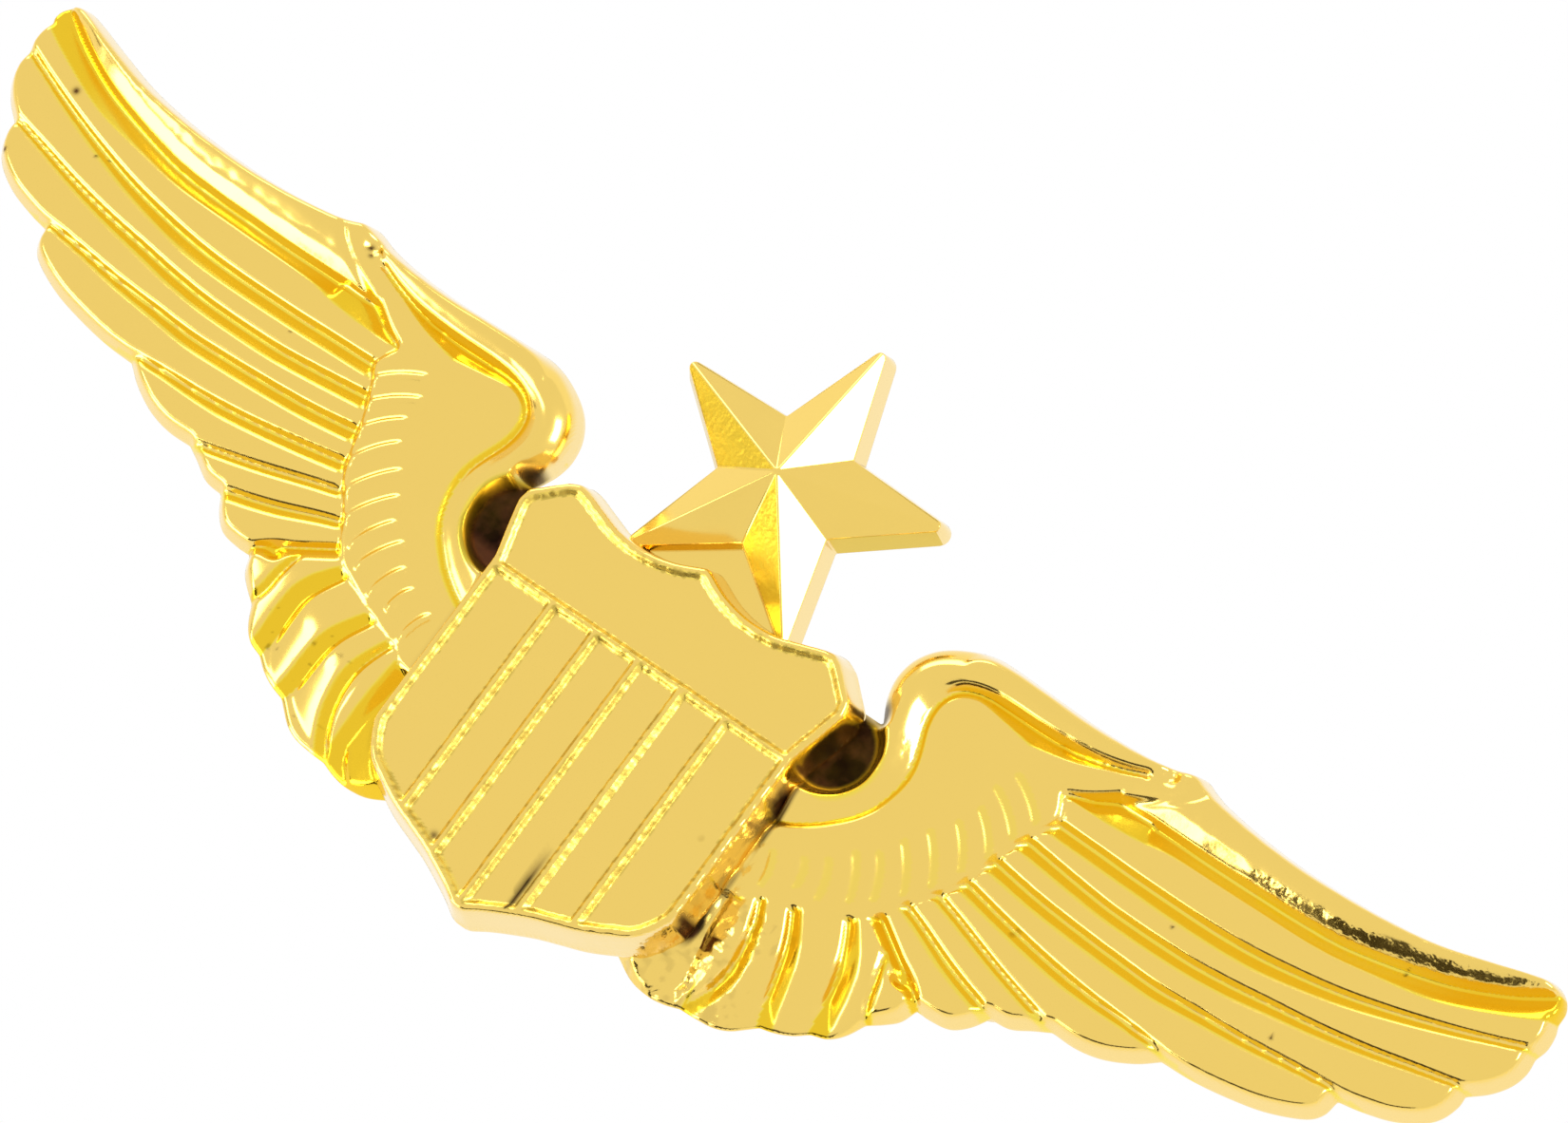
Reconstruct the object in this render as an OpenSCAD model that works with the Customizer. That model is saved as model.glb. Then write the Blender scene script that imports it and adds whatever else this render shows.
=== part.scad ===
// Pilot wings badge with two pin posts and two butterfly clutches.
// The badge lies face up. The origin is on the flat back face, midway between the posts.
// Seen from the front, +X runs to the right wing tip and +Y to the star; +Z is out of the face.
// The posts and clutches hang below the back face.

/* [Wings] */
// Thickness of the feathers' flat tops above the back face
feather_t = 1.05; // [0.9:0.05:1.2]
// Thickness left under the grooves between feathers
groove_floor_t = 0.7; // [0.5:0.05:0.8]
// Height of the smooth shoulder patch above the back face
patch_t = 1.25; // [1.15:0.05:1.4]
// Height of the leading edge roll above the back face
roll_t = 1.9; // [1.7:0.1:2.2]

/* [Shield] */
// Underside of the shield above the back face, which is also the thickness of the web under it
shield_seat_z = 0.8; // [0.6:0.1:0.9]
// Height of the shield's sunk field above the back face
shield_field_z = 2.45; // [2.2:0.05:2.6]
// How far the rim, the bar and the ribs stand above the field
shield_relief = 0.25; // [0.1:0.05:0.4]
// Spacing of the five ribs
rib_pitch = 2.12; // [2:0.02:2.2]
// Width of a rib
rib_w = 0.5; // [0.3:0.05:0.7]

/* [Star] */
// Radius to the star's points
star_r = 6.45; // [6:0.05:6.6]
// Radius to the star's inner corners
star_inner_r = 2.85; // [2.5:0.05:3]
// Height of the star's edge above the back face
star_edge_z = 1.1; // [0.9:0.05:1.3]
// Height of the star's centre above the back face
star_peak_z = 3.0; // [2.4:0.1:3.4]

/* [Posts] */
// Distance between the two posts
post_spacing = 32; // [28:0.5:34]
// Post radius
post_r = 0.55; // [0.5:0.05:0.6]
// Radius of the slimmer lower part of the post, which the clutch grips
post_low_r = 0.5; // [0.45:0.01:0.54]
// Length of the full-width part of the post below the back face
shank_len = 2.1; // [2:0.05:2.15]
// Length of the taper from the full width to the slimmer part
post_taper_len = 0.65; // [0.55:0.05:0.8]
// Length of the post below the back face
post_len = 7.25; // [6.5:0.25:7.5]
// Radius of the post's flat head, which is set flush in the back face
post_head_r = 1.7; // [1.4:0.1:2]

/* [Clutch] */
// Radius of the clutch's round base disc
disc_r = 5.5; // [5.2:0.1:5.8]
// Gap between the back face and the disc, where the cloth goes
cloth_gap = 2.2; // [2.1:0.1:2.4]
// Radius of the clutch's crimped cap
cap_r = 4.1; // [4:0.1:4.3]
// Width of each squeeze ear
ear_w = 3.6; // [3.2:0.1:4]

/* [Hidden] */
$fn = 64;
gold = "gold";
brass = "darkkhaki";

// Posts
post_x = post_spacing / 2;
post_head_t = 0.45;
post_point_len = 1;
post_point_r = 0.1;

// Clutch levels, all measured down from the back face
disc_t = 0.45;
disc_lip = 0.35;
disc_step = 0.2;
disc_top = -cloth_gap;
cap_top = disc_top - disc_t;
cap_h = 2.2;
cap_wall = 0.35;
cap_gap = 0.05;
bore_r = post_r + 0.08;
cap_bore_r = bore_r + 0.1;
jaw_bore_r = bore_r + 0.05;
spring_t = 0.3;
spring_gap = 0.15;
hinge_y = 3.2;
hinge_z = cap_top - 1.25;
ear_t = 0.35;
ear_tilt = 68;
lobe_len = 2.8;
slot_h = 1.1;
slot_clear = 0.2;
slot_inset = 0.5;
spring_inset = 0.6;
jaw_start_y = 0.4;
elbow_y = hinge_y + 0.6;

// Points on a circular arc from a to b, bulging by sag to the right of the way from a to b; a is left out
function arc(a, b, sag, steps = 5) =
    let(chord = b - a, l = norm(chord), side = [chord[1], -chord[0]] / l,
        r = (l * l / 4 + sag * sag) / (2 * sag), half = asin(min(1, l / 2 / r)))
    [for (i = [1:steps])
        let(t = -half + 2 * half * i / steps)
        (a + b) / 2 + chord / l * r * sin(t) + side * (r * cos(t) - r * cos(half))];
// Points on a quadratic curve from a to b pulled towards c
function bend(a, c, b, steps = 10) =
    [for (i = [0:steps]) let(t = i / steps) (1 - t) * (1 - t) * a + 2 * t * (1 - t) * c + t * t * b];
function reversed(p) = [for (i = [len(p) - 1:-1:0]) p[i]];
function flat(rows) = [for (row = rows) for (p = row) p];
function shifted(p, by) = [for (q = p) q + by];
function mirrored(p) = [for (q = reversed(p)) [-q[0], q[1]]];

// Right wing: each feather tip runs from one notch of the outline to the next, with a bulge
tip_notches = [[5.6, -11.2, 0], [8.9, -11.45, 0.35], [11.8, -10.35, 0.35], [13.65, -9.45, 0.22],
               [15.3, -8.1, 0.35], [16.6, -6.55, 0.3], [19.15, -5.2, 0.55], [21.45, -4.3, 0.3],
               [25.6, -2.88, 0.5], [32, -0.37, 0.95], [36, 2.5, 0.9], [37.35, 5.15, 0.4], [37.3, 6.7, 0.12]];
wing_tip = [36.3, 7.95];
tip_outline = flat([for (i = [1:len(tip_notches) - 1])
    let(from = tip_notches[i - 1], to = tip_notches[i])
    arc([from[0], from[1]], [to[0], to[1]], to[2])]);
leading_edge = bend([35.7, 7.85], [27.6, 4.9], [21.2, 6.85]);
wrist_bump = bend([21.2, 6.85], [20.3, 7.4], [19.2, 6.7], 4);
shoulder = concat(bend([18.2, 6.55], [15.5, 6.2], [12.4, 6.5], 4),
                  bend([11.6, 6.45], [8.2, 6.1], [8.6, 3.1], 8));
gap_centre = [7.85, 0];
gap_r = 1.95;
gap_edge = [for (a = [68:-16:-76]) gap_centre + gap_r * [cos(a), sin(a)]];
wing_outline = concat([[4, -2], [4, -11]], [[5.6, -11.2]], tip_outline, [[37.2, 7.4], [36.85, 7.8], wing_tip],
    leading_edge, wrist_bump, shoulder, gap_edge, [[6.5, -2]]);

// Lower edges of the seven long feathers: start, pull, end and the width of the groove below
feather_edges = [[[17, 2.4], [27, 1.2], [37, 5.15], 0.6],
                 [[16.6, 1.15], [25.75, -0.05], [35.7, 2.5], 0.55],
                 [[16.1, -0.2], [24, -1.24], [31.7, -0.3], 0.6],
                 [[15.7, -1.55], [20.5, -2.45], [25.2, -2.8], 0.5],
                 [[15.1, -2.6], [18.2, -3.6], [21, -4.2], 0.35],
                 [[14.1, -3.55], [16.5, -4.62], [18.8, -5.05], 0.5],
                 [[13.4, -4.5], [15, -5.4], [16.4, -6.4], 0.4]];
// Ridges between the short fan feathers, from the shoulder patch down to the notches
fan_ridges = [[[12.8, -5.05], [14.6, -6.3], [15.1, -8.0]], [[11.9, -5.45], [13.5, -7.2], [13.4, -9.3]],
              [[10.8, -5.95], [12.2, -7.8], [11.6, -10.2]], [[9.7, -6.35], [10.4, -8.6], [9, -11.2]]];
fan_ridge_w = 0.35;
roll_groove_w = 0.55;
// Lower edge of the leading edge roll, from the tip in to the wrist
roll_lower = bend([37.1, 7.3], [28.5, 2.9], [20.2, 5.05]);
roll_groove = concat(roll_lower, reversed(shifted(roll_lower, [0, -roll_groove_w])));
// Smooth shoulder patch, and the slim tongue that joins it to the wrist bump
patch = concat([[16.6, 3.45], [17, 2.4], [16.3, 1], [15.9, 0], [15.2, -2], [14.1, -3.5], [13.3, -4.6],
                [12, -5.35], [10, -6.2], [8.5, -6.8], [7.4, -6.9], [7.4, -3.6]],
               bend([8.2, -3.4], [11.4, -2], [11.45, 0.6]), bend([11.4, 1.2], [9.9, 4.5], [11.6, 4.5], 4),
               bend([12, 4.5], [16, 4.4], [19.4, 5.8], 4), [[20.5, 6.3], [20.9, 6], [19.3, 4.7]]);
// Sunk corner below the last fan feather, from the seventh feather's edge in to the shield
fan_bed = concat(bend([13.1, -5.1], [14.7, -6.2], [16, -7.2]),
                 [[14.9, -7.8], [12, -9.8], [8, -10.9], [7.6, -7], [12, -5.2]]);
// Ridge that follows the shoulder and curls back to the shield
inner_roll = concat([[19.2, 6.7]], shoulder, gap_edge, [[7.4, -2.4], [7.4, -3]],
                    bend([8, -3], [10.6, -2], [10.7, 0.6]),
                    bend([10.6, 1.6], [9.2, 5.2], [12, 5.25], 6), [[18, 5.5]]);
// Sunk floor around the patch and under the two rolls
patch_bed = concat([[19.2, 6.5]], bend([18.2, 6.3], [15.5, 6], [12.4, 6.2], 4),
                   bend([11.6, 6.1], [8.6, 5.9], [9, 3], 6),
                   [[10, 0], [8, -2.5], [7.4, -2.6], [7.4, -6], [12, -5], [15.5, -1.5], [16.5, 3.5]]);

// Web that joins the wings behind the shield, notched for the star's foot
web_half_w = 9.3;
web_top_y = 1.85;
web_bottom_y = -9.5;
star_foot_half_w = 4;
star_foot_low_y = 0.4;

// Shield: half outline of the sunk field from the top centre round to the bottom point
shield_half = concat([[0, 2.3]], bend([0.5, 1.95], [3.2, 0.9], [6.1, 2.3], 8),
                     [[6.5, 2.3], [7.6, 1.15], [7.3, -0.1], [6.95, -1.3], [6.95, -8.8]],
                     bend([6.9, -9.2], [6.7, -10.5], [5.4, -10.75], 4),
                     bend([4.6, -11.15], [2, -11.8], [0.6, -13], 5), [[0, -13.35]]);
shield_field = concat(mirrored(shield_half), shield_half);
shield_draft = [1.075, 1.065];
rim_draft = [1.04, 1.035];
shield_mid_y = -5.5;
bar_y = [-1.85, -1.4];
rib_bottom_y = [-13.1, -12.1, -11.2];

// Star
star_y = 7.4;
star_points = [for (k = [0:9]) (k % 2 == 0 ? star_r : star_inner_r) * [cos(90 + 36 * k), sin(90 + 36 * k)]];
star_foot_top_y = star_y - star_inner_r + 0.3;
star_foot_t = 0.75;
// Slanted cuts that keep the foot's corners behind the star's lower arms
star_cut = [6.2, 4.1];
star_cut_w = 4.4;

module both() {
    children();
    mirror([1, 0, 0]) children();
}

module slab(points, z0, z1) {
    translate([0, 0, z0]) linear_extrude(z1 - z0) polygon(points);
}

module wing_half() {
    difference() {
        slab(wing_outline, 0, feather_t);
        for (e = feather_edges)
            slab(concat(bend(e[0], e[1], e[2]), reversed(shifted(bend(e[0], e[1], e[2]), [0, -e[3]]))),
                 groove_floor_t, feather_t + 1);
        for (bed = [fan_bed, patch_bed, roll_groove])
            slab(bed, groove_floor_t, feather_t + 1);
    }
    slab(concat(roll_lower, [[20.6, 6.4]], reversed(shifted(leading_edge, [0, -0.25])), [[36.9, 7.5]]),
         groove_floor_t, roll_t);
    slab(patch, groove_floor_t, patch_t);
    slab(inner_roll, groove_floor_t, roll_t);
    for (r = fan_ridges)
        slab(concat(bend(r[0], r[1], r[2]), reversed(shifted(bend(r[0], r[1], r[2]), [-fan_ridge_w, 0]))),
             groove_floor_t, feather_t);
}

module web() {
    difference() {
        translate([-web_half_w, web_bottom_y, 0])
            cube([2 * web_half_w, web_top_y - web_bottom_y, shield_seat_z]);
        translate([-star_foot_half_w, star_foot_low_y, -1])
            cube([2 * star_foot_half_w, web_top_y, shield_seat_z + 2]);
    }
}

// Both wings and the web between them, cast in one piece, with two pockets for the post heads
module wing_casting() {
    color(gold) difference() {
        union() {
            difference() {
                both() wing_half();
                // room for the shield, which sits over the wings' roots
                translate([0, 0, shield_seat_z]) linear_extrude(5) shield_outline(shield_draft);
            }
            web();
        }
        both() translate([post_x, 0, -1]) cylinder(r = post_head_r, h = post_head_t + 1);
    }
}

module shield_outline(grow) {
    translate([0, shield_mid_y]) scale(grow) translate([0, -shield_mid_y]) polygon(shield_field);
}

// Separate shield plate: raised rim, one bar and five ribs over a flat field
module shield() {
    color(gold) {
        translate([0, 0, shield_seat_z])
            linear_extrude(shield_field_z - shield_seat_z) shield_outline(shield_draft);
        translate([0, 0, shield_field_z]) linear_extrude(shield_relief) difference() {
            shield_outline(rim_draft);
            polygon(shield_field);
        }
        translate([-7.05, bar_y[0], shield_field_z]) cube([14.1, bar_y[1] - bar_y[0], shield_relief]);
        for (k = [-2:2])
            translate([k * rib_pitch - rib_w / 2, rib_bottom_y[abs(k)], shield_field_z])
                cube([rib_w, bar_y[0] - rib_bottom_y[abs(k)] + 0.1, shield_relief]);
    }
}

// Five pointed star with a flat foot that tucks under the shield
module star() {
    color(gold) difference() {
        union() {
            translate([0, star_y, 0]) linear_extrude(star_edge_z) polygon(star_points);
            translate([0, star_y, 0]) polyhedron(
                points = concat([for (p = star_points) [p[0], p[1], star_edge_z]],
                                [[0, 0, star_peak_z], [0, 0, star_edge_z - 0.2]]),
                faces = concat([for (k = [0:9]) [(k + 1) % 10, k, 10]],
                               [for (k = [0:9]) [k, (k + 1) % 10, 11]]));
            translate([-star_foot_half_w + 0.05, star_foot_low_y + 0.05, 0])
                cube([2 * star_foot_half_w - 0.1, star_foot_top_y - star_foot_low_y - 0.05, star_foot_t]);
        }
        translate([0, 0, shield_seat_z]) linear_extrude(5) shield_outline(shield_draft);
        for (side = [-1, 1])
            translate([side * star_cut[0], star_y - star_cut[1], 0]) rotate(side * 36)
                cube([star_cut_w, 2 * star_cut_w, 2 * star_peak_z], center = true);
    }
}

// Pin post with a flat head and a tapered point
module post(side) {
    color(gold) translate([side * post_x, 0, 0]) {
        cylinder(r = post_head_r, h = post_head_t);
        translate([0, 0, -shank_len]) cylinder(r = post_r, h = shank_len);
        translate([0, 0, -shank_len - post_taper_len]) cylinder(r1 = post_low_r, r2 = post_r, h = post_taper_len);
        translate([0, 0, post_point_len - post_len])
            cylinder(r = post_low_r, h = post_len - post_point_len - shank_len - post_taper_len);
        translate([0, 0, -post_len]) cylinder(r1 = post_point_r, r2 = post_low_r, h = post_point_len);
    }
}

// Round disc of the clutch that bears on the cloth, with a turned-down lip
module clutch_disc(side) {
    color(brass) translate([side * post_x, 0, 0]) difference() {
        translate([0, 0, disc_top - disc_t]) cylinder(r = disc_r, h = disc_t);
        translate([0, 0, disc_top - 2]) cylinder(r = bore_r, h = 3);
        translate([0, 0, disc_top - disc_t - 1]) difference() {
            cylinder(r = disc_r - disc_lip, h = 1 + disc_t / 2);
            cylinder(r = cap_r + disc_step, h = 2);
        }
    }
}

// Crimped cap: a shallow cup with a hole for the post and a slot each side for the ears
module clutch_cap(side) {
    color(brass) translate([side * post_x, 0, 0]) difference() {
        translate([0, 0, cap_top - cap_h]) cylinder(r = cap_r, h = cap_h - cap_gap);
        translate([0, 0, cap_top - cap_h + cap_wall]) cylinder(r = cap_r - cap_wall, h = cap_h);
        translate([0, 0, cap_top - cap_h - 1]) cylinder(r = cap_bore_r, h = 3);
        for (way = [90, 270])
            rotate(way) translate([-ear_w / 2 - slot_clear, hinge_y - slot_inset, cap_top - cap_h - 1])
                cube([ear_w + 2 * slot_clear, cap_r, slot_h + 1 + cap_wall]);
    }
}

// Still middle of the bent spring strip: a narrow plate with a hole for the post
module clutch_spring(side) {
    color(brass) translate([side * post_x, 0, 0]) rotate(90) difference() {
        translate([-ear_w / 2, spring_inset - hinge_y, cap_top - spring_gap - spring_t])
            cube([ear_w, 2 * (hinge_y - spring_inset), spring_t]);
        translate([0, 0, cap_top - 2]) cylinder(r = bore_r, h = 3);
    }
}

// Squeeze ear: a flat jaw that grips the post, a bend at the slot and a rounded lobe below.
// The inner ear points to the middle of the badge and the outer one to the wing tip.
module ear(side, way) {
    color(brass) translate([side * post_x, 0, 0]) rotate(-90 * side * way) {
        difference() {
            translate([-ear_w / 2, jaw_start_y, hinge_z - ear_t / 2]) cube([ear_w, elbow_y, ear_t]);
            translate([0, 0, hinge_z - 1]) cylinder(r = jaw_bore_r, h = 2);
        }
        translate([-ear_w / 2, elbow_y, hinge_z + ear_t / 2]) rotate([-ear_tilt, 0, 0]) {
            translate([0, 0, -ear_t]) cube([ear_w, lobe_len, ear_t]);
            translate([ear_w / 2, lobe_len, -ear_t]) cylinder(r = ear_w / 2, h = ear_t);
        }
    }
}

wing_casting();
shield();
star();
post(-1);  // post_left
post(1);  // post_right
clutch_disc(-1);  // clutch_disc_left
clutch_cap(-1);  // clutch_cap_left
clutch_spring(-1);  // clutch_spring_left
ear(-1, -1);  // ear_inner_left
ear(-1, 1);  // ear_outer_left
clutch_disc(1);  // clutch_disc_right
clutch_cap(1);  // clutch_cap_right
clutch_spring(1);  // clutch_spring_right
ear(1, -1);  // ear_inner_right
ear(1, 1);  // ear_outer_right
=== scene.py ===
"""The looks of a pilot wings badge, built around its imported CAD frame.

Outlines are in millimetres, seen from the front, with y counted from a drawing line 4.6 mm below the
frame's origin. placed() moves them into the frame. Meshes are written in metres.
"""

import math

import bmesh
import bpy
import numpy as np
from mathutils import Matrix, Vector


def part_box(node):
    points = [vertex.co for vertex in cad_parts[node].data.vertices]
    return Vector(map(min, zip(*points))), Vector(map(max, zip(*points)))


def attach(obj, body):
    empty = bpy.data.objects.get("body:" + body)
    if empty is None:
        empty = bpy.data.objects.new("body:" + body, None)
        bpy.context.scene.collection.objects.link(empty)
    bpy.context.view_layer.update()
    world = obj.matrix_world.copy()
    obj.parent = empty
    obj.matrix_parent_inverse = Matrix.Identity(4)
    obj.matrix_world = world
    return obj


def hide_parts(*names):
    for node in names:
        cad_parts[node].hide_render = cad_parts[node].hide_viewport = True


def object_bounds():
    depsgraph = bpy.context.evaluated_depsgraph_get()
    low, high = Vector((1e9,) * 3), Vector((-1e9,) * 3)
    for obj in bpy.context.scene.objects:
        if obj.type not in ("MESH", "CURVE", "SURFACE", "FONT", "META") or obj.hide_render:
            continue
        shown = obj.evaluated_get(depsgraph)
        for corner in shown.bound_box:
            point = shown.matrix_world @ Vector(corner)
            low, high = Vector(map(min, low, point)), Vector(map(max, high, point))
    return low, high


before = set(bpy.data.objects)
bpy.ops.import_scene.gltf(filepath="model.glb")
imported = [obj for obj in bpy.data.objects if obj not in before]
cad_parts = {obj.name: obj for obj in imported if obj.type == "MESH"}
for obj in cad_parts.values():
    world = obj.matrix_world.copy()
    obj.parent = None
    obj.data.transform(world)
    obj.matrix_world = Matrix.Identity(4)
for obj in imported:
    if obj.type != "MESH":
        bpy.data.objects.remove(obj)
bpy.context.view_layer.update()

MM = 0.001
DRAWING_Y = 4.6  # height of the frame's origin above the drawing line

# Levels above the back face, in millimetres, read from the frame
WEB_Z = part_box("shield")[0].z / MM
RIM_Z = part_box("shield")[1].z / MM
ROLL_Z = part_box("wing_casting")[1].z / MM
STAR_PEAK_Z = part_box("star")[1].z / MM
FIELD_Z = RIM_Z - 0.25
FEATHER_Z = 1.05
PATCH_Z = 1.25
STAR_EDGE_Z = 1.2
STAR_FOOT_Z = WEB_Z - 0.05
SKIRT_Z = 0.12  # upright edge all round the back face
LOWEST_Z = 0.24  # least thickness of the casting

# Widths, depths and slopes of the relief, in millimetres
WALL_W = 0.2  # width of the steep walls between feathers
GROOVE_DEPTH = 0.5  # of the slope beside each feather's edge, below the flat tops
FAN_GROOVE = 0.45  # the same in the fan
BAND_TILT = 0.82  # steepest slope beside a feather's edge
FAN_TILT = 0.34  # fall of the fan's tips, as a slope
SHOULDER_W = 1.5  # from the shoulder's outline to the top of its round
GROOVE_END_X = 18.6  # where the groove between patch and curl runs out
SHIELD_EDGE = 0.78  # from the field's outline out to the foot of the shield's side
RIB_PITCH = 2.12
RIB_W = 0.5
RIB_WALLS = (0.1, 0.19)  # widths of a rib's left and right walls
RIM_WALL_W = 0.17  # width of the rim's inner wall
BAR_LOW, BAR_HIGH = 2.68, 3.14  # the bar's lower and upper edge above the drawing line
CASTING_PITCH = 0.08  # of the net that the casting's mesh is drawn on
SHIELD_PITCH = 0.07
BACK_RIM_W, BACK_SINK = 0.7, 0.12  # flat rim of the casting's back, and how far the rest is sunk inside it


# ---------------------------------------------------------------- outlines


def placed(points):
    """Points of the drawing in the frame, still in millimetres."""
    return np.array(points, float) - (0, DRAWING_Y)


def smooth(points, steps=8):
    """A Catmull-Rom curve through the points."""
    p = np.array(points, float)
    p = np.vstack([2 * p[0] - p[1], p, 2 * p[-1] - p[-2]])
    t = np.linspace(0, 1, steps, endpoint=False)[:, None]
    rows = []
    for a, b, c, d in zip(p[:-3], p[1:-2], p[2:-1], p[3:]):
        quadratic, cubic = 2 * a - 5 * b + 4 * c - d, 3 * b - a - 3 * c + d
        rows.append(0.5 * (2 * b + (c - a) * t + quadratic * t**2 + cubic * t**3))
    return np.vstack([*rows, p[-2:-1]])


def mirrored(points):
    """The same outline on the other side, in reverse order."""
    return points[::-1] * (-1, 1)


# Free edge of each feather tip, from the notch before it to the notch after it
TIPS = [
    [(5.6, -6.7), (6.6, -7.2), (7.5, -7.33), (8.2, -7.25), (8.9, -7.03)],
    [(8.9, -7.03), (9.6, -7), (10.4, -6.9), (11, -6.65), (11.5, -6.25), (11.9, -5.9)],
    [(11.9, -5.9), (12.6, -5.7), (13.2, -5.4), (13.72, -5)],
    [(13.72, -5), (14.4, -4.75), (14.9, -4.25), (15.3, -3.5)],
    [(15.3, -3.5), (15.9, -3.05), (16.35, -2.6), (16.6, -1.95)],
    [(16.6, -1.95), (17.3, -1.95), (18.1, -1.8), (18.7, -1.3), (19.15, -0.6)],
    [(19.15, -0.6), (20, -0.5), (20.8, -0.05), (21.45, 0.3)],
    [(21.45, 0.3), (22.6, 0.3), (23.7, 0.55), (24.8, 1.1), (25.6, 1.72)],
    [(25.6, 1.72), (27, 1.78), (28.5, 2), (30, 2.35), (31.4, 2.95), (31.95, 3.5), (32.1, 4.23)],
    [(32.1, 4.23), (33, 4.4), (34.2, 4.75), (35.2, 5.3), (35.75, 5.9), (36, 6.6), (36, 7.1)],
    [(36, 7.1), (36.7, 7.7), (37.2, 8.4), (37.4, 9.1), (37.35, 9.75)],
    [(37.35, 9.75), (37.5, 10.3), (37.45, 10.9), (37.3, 11.3)],
]
LEADING_EDGE = [(37.3, 11.3), (37.25, 11.9), (36.9, 12.35), (36.3, 12.55), (35.5, 12.4), (34, 11.95),
                (32, 11.4), (30, 11.1), (28, 10.95), (26, 10.9), (24, 11), (22, 11.25), (21.2, 11.45),
                (20.5, 11.65), (19.4, 11.35), (18, 11.15), (16, 11.05), (14, 11.1), (12.2, 11.15),
                (11, 11.1), (9.9, 10.75), (8.9, 10.1), (8.3, 9.25), (8.1, 8.35), (8.2, 7.6), (8.45, 7),
                (8.75, 6.45)]
# The web's edge: up beside the shield, round the slot for the star's foot, and low behind the shield
WEB_TOP = [(8.75, 6.45), (4, 6.45), (4, 5), (0, 5)]
WEB_BOTTOM = [(0, -4.9), (4, -4.9), (4, -6.2), (5.6, -6.7)]

# Boundary between the shoulder patch and the feathers, from the shield out and up
ROOT_LINE = [(7.2, -2.6), (8.5, -2.3), (9, -1.95), (10, -1.62), (11, -1.25), (12, -0.78), (12.8, -0.45),
             (13.3, 0), (13.6, 0.35), (14, 1), (14.6, 1.8), (15.2, 2.6), (15.6, 3.6), (15.9, 4.6),
             (16.3, 5.6), (16.7, 6.4), (17, 7), (16.9, 7.5), (16.6, 8.05)]
# Boundary between the shoulder patch and the curled roll, from the wrist in and down to the shield
CURL_LINE = [(18.9, 10.35), (18, 10.05), (16.9, 9.8), (15.6, 9.66), (14.2, 9.6), (12.6, 9.6), (11.6, 9.48),
             (10.9, 9.2), (10.45, 8.7), (10.28, 8), (10.4, 7.2), (10.8, 6.2), (11, 5.5), (11.02, 4.8),
             (10.75, 3.7), (10.3, 2.9), (9.7, 2.25), (9, 1.65), (8, 1.05), (7.2, 0.75)]
# The slim tongue that joins the patch to the wrist
TONGUE_UPPER = [(19.4, 12.3), (19.45, 11.4), (19.3, 10.85), (18.9, 10.35)]
TONGUE_LOWER = [(16.6, 8.05), (17.5, 8.5), (18.5, 9.1), (19.5, 9.6), (20.6, 10.3), (21.25, 11), (21.5, 12.3)]
GAP_CENTRE, GAP_R = (7.85, 4.6), 1.75

# Foot of the leading edge roll, and where the slope below it reaches the first feather's flat top
ROLL_FOOT = [(18.5, 9), (21, 8.98), (23, 8.97), (25, 9), (28, 9.12), (30, 9.42), (33, 10.2), (35, 11.05),
             (36.2, 11.75), (38, 13)]
FIRST_BAND = [(16.6, 7.95), (18.5, 7.98), (20, 8.1), (21.5, 8.32), (25, 8.4), (28, 8.47), (30, 8.72),
              (33, 9.27), (36, 10.5), (38, 11.6)]
# Lower edge of each long feather, with the width of the slope below it at the root, the middle and the tip
FEATHER_EDGES = [
    ([(15, 7.1), (17, 7), (19, 6.95), (21, 6.9), (24, 6.9), (26, 7), (28, 7.25), (30, 7.6), (32, 8.1),
      (34, 8.7), (36, 9.4), (38, 10.2)], (0.62, 0.66, 0.2)),
    ([(15, 5.95), (16.7, 5.75), (19, 5.5), (21, 5.35), (24, 5.35), (26, 5.5), (28, 5.75), (30, 6), (32, 6.35),
      (34, 6.8), (36, 7.25), (38, 7.8)], (0.6, 0.56, 0.15)),
    ([(15, 4.6), (16.1, 4.4), (18, 4.15), (20, 4), (22, 3.9), (24, 3.85), (26, 3.95), (28, 4.05), (30, 4.25),
      (31.7, 4.4), (34, 4.5)], (0.6, 0.56, 0.2)),
    ([(14.5, 3.35), (15.8, 3.05), (18, 2.65), (20, 2.35), (22, 2.15), (24, 2.05), (26, 1.9), (28, 1.8)],
     (0.52, 0.5, 0.2)),
    ([(14, 2.4), (15.1, 2), (16, 1.75), (18, 1.15), (19.5, 0.75), (21, 0.4), (22.5, 0.1)], (0.32, 0.32, 0.3)),
    ([(13, 1.5), (14.1, 1.05), (15, 0.75), (16.5, 0.2), (17.6, -0.15), (18.7, -0.45),
      (20, -0.9)], (0.35, 0.45, 0.45)),
    ([(12.6, 0.7), (13.6, 0.1), (15, -0.75), (16, -1.3), (17.2, -2.3)], (0.3, 0.45, 0.5)),
]
# Outer edge of each fan feather, from the root to its notch, outermost last, with the slope's width beyond it
# at the root and at the tip
FAN_EDGES = [
    ([(8.6, -0.8), (9.3, -2.1), (9.75, -3.5), (9.75, -5), (9.4, -6.1), (8.8, -7.1)], (0.3, 0.5)),
    ([(9.8, -0.4), (10.5, -1.6), (11.1, -2.8), (11.4, -4), (11.6, -5.2), (11.9, -6.2)], (0.45, 0.7)),
    ([(11.6, 0.6), (12.45, -0.6), (13.15, -1.9), (13.45, -3.1), (13.55, -4.2), (13.7, -5.3)], (0.5, 0.8)),
    ([(13.7, 0.8), (14.15, 0), (14.55, -1), (14.8, -1.9), (15, -2.8), (15.5, -3.9)], (0.2, 0.3)),
]
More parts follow.
